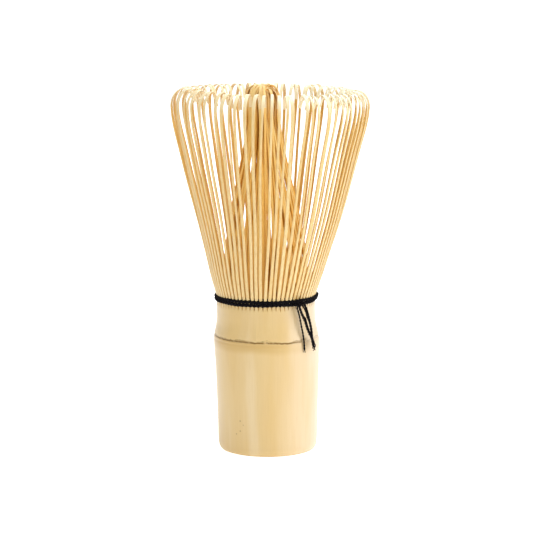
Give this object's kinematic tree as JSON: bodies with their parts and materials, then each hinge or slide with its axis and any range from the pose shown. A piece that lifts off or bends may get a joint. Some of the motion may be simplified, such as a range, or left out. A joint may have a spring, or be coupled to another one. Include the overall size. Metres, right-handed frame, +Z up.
{
  "type": "bamboo tea whisk",
  "caption": "Tea whisk cut from one bamboo culm: a tubular handle with a node, a flaring crown of hooked outer tines round a tight inner bundle, and black thread woven round their roots.",
  "frame": {"origin": "centre of the handle's foot, on the surface that the whisk stands on", "axes": "+Z up along the culm towards the tines; -Y is the front, and seen from there the knot is to the right, towards +X"},
  "size_m": [0.0576, 0.0576, 0.1074],
  "materials": {
    "culm": "natural bamboo skin, satin",
    "outer_tine": "shaved bamboo, matt",
    "inner_tine": "shaved bamboo, matt",
    "thread": "black cotton thread, matt"
  },
  "bodies": {
    "handle": {"handle_culm": "culm", "thread_round_lower": "thread", "thread_round_upper": "thread", "thread_round_between": "thread", "thread_knot": "thread"},
    "outer_tines_01": {"outer_tines_01": "outer_tine"},
    "outer_tines_02": {"outer_tines_02": "outer_tine"},
    "outer_tines_03": {"outer_tines_03": "outer_tine"},
    "outer_tines_04": {"outer_tines_04": "outer_tine"},
    "outer_tines_05": {"outer_tines_05": "outer_tine"},
    "outer_tines_06": {"outer_tines_06": "outer_tine"},
    "outer_tines_07": {"outer_tines_07": "outer_tine"},
    "outer_tines_08": {"outer_tines_08": "outer_tine"},
    "outer_tines_09": {"outer_tines_09": "outer_tine"},
    "outer_tines_10": {"outer_tines_10": "outer_tine"},
    "outer_tines_11": {"outer_tines_11": "outer_tine"},
    "outer_tines_12": {"outer_tines_12": "outer_tine"},
    "outer_tines_13": {"outer_tines_13": "outer_tine"},
    "outer_tines_14": {"outer_tines_14": "outer_tine"},
    "outer_tines_15": {"outer_tines_15": "outer_tine"},
    "outer_tines_16": {"outer_tines_16": "outer_tine"},
    "outer_tines_17": {"outer_tines_17": "outer_tine"},
    "outer_tines_18": {"outer_tines_18": "outer_tine"},
    "inner_tines_01": {"inner_tines_01": "inner_tine"},
    "inner_tines_02": {"inner_tines_02": "inner_tine"},
    "inner_tines_03": {"inner_tines_03": "inner_tine"},
    "inner_tines_04": {"inner_tines_04": "inner_tine"},
    "inner_tines_05": {"inner_tines_05": "inner_tine"},
    "inner_tines_06": {"inner_tines_06": "inner_tine"},
    "thread_end_left": {"thread_end_left": "thread"},
    "thread_end_middle": {"thread_end_middle": "thread"},
    "thread_end_right": {"thread_end_right": "thread"}
  },
  "joints": [
    {"name": "outer_bend_01", "type": "hinge", "parent": "handle", "child": "outer_tines_01", "pos_m": [0.00162, -0.01355, 0.045], "axis": [0.993, 0.1184, 0], "range_deg": [-4, 6], "stiffness_Nm_per_rad": 0.012},
    {"name": "outer_bend_02", "type": "hinge", "parent": "handle", "child": "outer_tines_02", "pos_m": [0.00615, -0.01218, 0.045], "axis": [0.8926, 0.4509, 0], "range_deg": [-4, 6], "stiffness_Nm_per_rad": 0.012},
    {"name": "outer_bend_03", "type": "hinge", "parent": "handle", "child": "outer_tines_03", "pos_m": [0.00995, -0.00934, 0.045], "axis": [0.6845, 0.729, 0], "range_deg": [-4, 6], "stiffness_Nm_per_rad": 0.012},
    {"name": "outer_bend_04", "type": "hinge", "parent": "handle", "child": "outer_tines_04", "pos_m": [0.01255, -0.00538, 0.045], "axis": [0.3939, 0.9191, 0], "range_deg": [-4, 6], "stiffness_Nm_per_rad": 0.012},
    {"name": "outer_bend_05", "type": "hinge", "parent": "handle", "child": "outer_tines_05", "pos_m": [0.01363, -0.00076, 0.045], "axis": [0.0558, 0.9984, 0], "range_deg": [-4, 6], "stiffness_Nm_per_rad": 0.012},
    {"name": "outer_bend_06", "type": "hinge", "parent": "handle", "child": "outer_tines_06", "pos_m": [0.01307, 0.00395, 0.045], "axis": [-0.289, 0.9573, 0], "range_deg": [-4, 6], "stiffness_Nm_per_rad": 0.012},
    {"name": "outer_bend_07", "type": "hinge", "parent": "handle", "child": "outer_tines_07", "pos_m": [0.01093, 0.00818, 0.045], "axis": [-0.599, 0.8007, 0], "range_deg": [-4, 6], "stiffness_Nm_per_rad": 0.012},
    {"name": "outer_bend_08", "type": "hinge", "parent": "handle", "child": "outer_tines_08", "pos_m": [0.00747, 0.01142, 0.045], "axis": [-0.8368, 0.5476, 0], "range_deg": [-4, 6], "stiffness_Nm_per_rad": 0.012},
    {"name": "outer_bend_09", "type": "hinge", "parent": "handle", "child": "outer_tines_09", "pos_m": [0.00312, 0.01329, 0.045], "axis": [-0.9736, 0.2284, 0], "range_deg": [-4, 6], "stiffness_Nm_per_rad": 0.012},
    {"name": "outer_bend_10", "type": "hinge", "parent": "handle", "child": "outer_tines_10", "pos_m": [-0.00162, 0.01355, 0.045], "axis": [-0.993, -0.1184, 0], "range_deg": [-4, 6], "stiffness_Nm_per_rad": 0.012},
    {"name": "outer_bend_11", "type": "hinge", "parent": "handle", "child": "outer_tines_11", "pos_m": [-0.00615, 0.01218, 0.045], "axis": [-0.8926, -0.4509, 0], "range_deg": [-4, 6], "stiffness_Nm_per_rad": 0.012},
    {"name": "outer_bend_12", "type": "hinge", "parent": "handle", "child": "outer_tines_12", "pos_m": [-0.00995, 0.00934, 0.045], "axis": [-0.6845, -0.729, 0], "range_deg": [-4, 6], "stiffness_Nm_per_rad": 0.012},
    {"name": "outer_bend_13", "type": "hinge", "parent": "handle", "child": "outer_tines_13", "pos_m": [-0.01255, 0.00538, 0.045], "axis": [-0.3939, -0.9191, 0], "range_deg": [-4, 6], "stiffness_Nm_per_rad": 0.012},
    {"name": "outer_bend_14", "type": "hinge", "parent": "handle", "child": "outer_tines_14", "pos_m": [-0.01363, 0.00076, 0.045], "axis": [-0.0558, -0.9984, 0], "range_deg": [-4, 6], "stiffness_Nm_per_rad": 0.012},
    {"name": "outer_bend_15", "type": "hinge", "parent": "handle", "child": "outer_tines_15", "pos_m": [-0.01307, -0.00395, 0.045], "axis": [0.289, -0.9573, 0], "range_deg": [-4, 6], "stiffness_Nm_per_rad": 0.012},
    {"name": "outer_bend_16", "type": "hinge", "parent": "handle", "child": "outer_tines_16", "pos_m": [-0.01093, -0.00818, 0.045], "axis": [0.599, -0.8007, 0], "range_deg": [-4, 6], "stiffness_Nm_per_rad": 0.012},
    {"name": "outer_bend_17", "type": "hinge", "parent": "handle", "child": "outer_tines_17", "pos_m": [-0.00747, -0.01142, 0.045], "axis": [0.8368, -0.5476, 0], "range_deg": [-4, 6], "stiffness_Nm_per_rad": 0.012},
    {"name": "outer_bend_18", "type": "hinge", "parent": "handle", "child": "outer_tines_18", "pos_m": [-0.00312, -0.01329, 0.045], "axis": [0.9736, -0.2284, 0], "range_deg": [-4, 6], "stiffness_Nm_per_rad": 0.012},
    {"name": "inner_bend_01", "type": "hinge", "parent": "handle", "child": "inner_tines_01", "pos_m": [0.00612, -0.0109, 0.0449], "axis": [0.8721, 0.4894, 0], "range_deg": [0, 5], "stiffness_Nm_per_rad": 0.012},
    {"name": "inner_bend_02", "type": "hinge", "parent": "handle", "child": "inner_tines_02", "pos_m": [0.0125, -0.00015, 0.0449], "axis": [0.0122, 0.9999, 0], "range_deg": [0, 5], "stiffness_Nm_per_rad": 0.012},
    {"name": "inner_bend_03", "type": "hinge", "parent": "handle", "child": "inner_tines_03", "pos_m": [0.00638, 0.01075, 0.0449], "axis": [-0.8599, 0.5105, 0], "range_deg": [0, 5], "stiffness_Nm_per_rad": 0.012},
    {"name": "inner_bend_04", "type": "hinge", "parent": "handle", "child": "inner_tines_04", "pos_m": [-0.00612, 0.0109, 0.0449], "axis": [-0.8721, -0.4894, 0], "range_deg": [0, 5], "stiffness_Nm_per_rad": 0.012},
    {"name": "inner_bend_05", "type": "hinge", "parent": "handle", "child": "inner_tines_05", "pos_m": [-0.0125, 0.00015, 0.0449], "axis": [-0.0122, -0.9999, 0], "range_deg": [0, 5], "stiffness_Nm_per_rad": 0.012},
    {"name": "inner_bend_06", "type": "hinge", "parent": "handle", "child": "inner_tines_06", "pos_m": [-0.00638, -0.01075, 0.0449], "axis": [0.8599, -0.5105, 0], "range_deg": [0, 5], "stiffness_Nm_per_rad": 0.012},
    {"name": "end_swing_left", "type": "hinge", "parent": "handle", "child": "thread_end_left", "pos_m": [0.01024, -0.01242, 0.04535], "axis": [0.6361, -0.7716, 0], "range_deg": [-30, 30]},
    {"name": "end_swing_middle", "type": "hinge", "parent": "handle", "child": "thread_end_middle", "pos_m": [0.01065, -0.01292, 0.04535], "axis": [0.6361, -0.7716, 0], "range_deg": [-30, 30]},
    {"name": "end_swing_right", "type": "hinge", "parent": "handle", "child": "thread_end_right", "pos_m": [0.01107, -0.01343, 0.04535], "axis": [0.6361, -0.7716, 0], "range_deg": [-30, 30]}
  ]
}
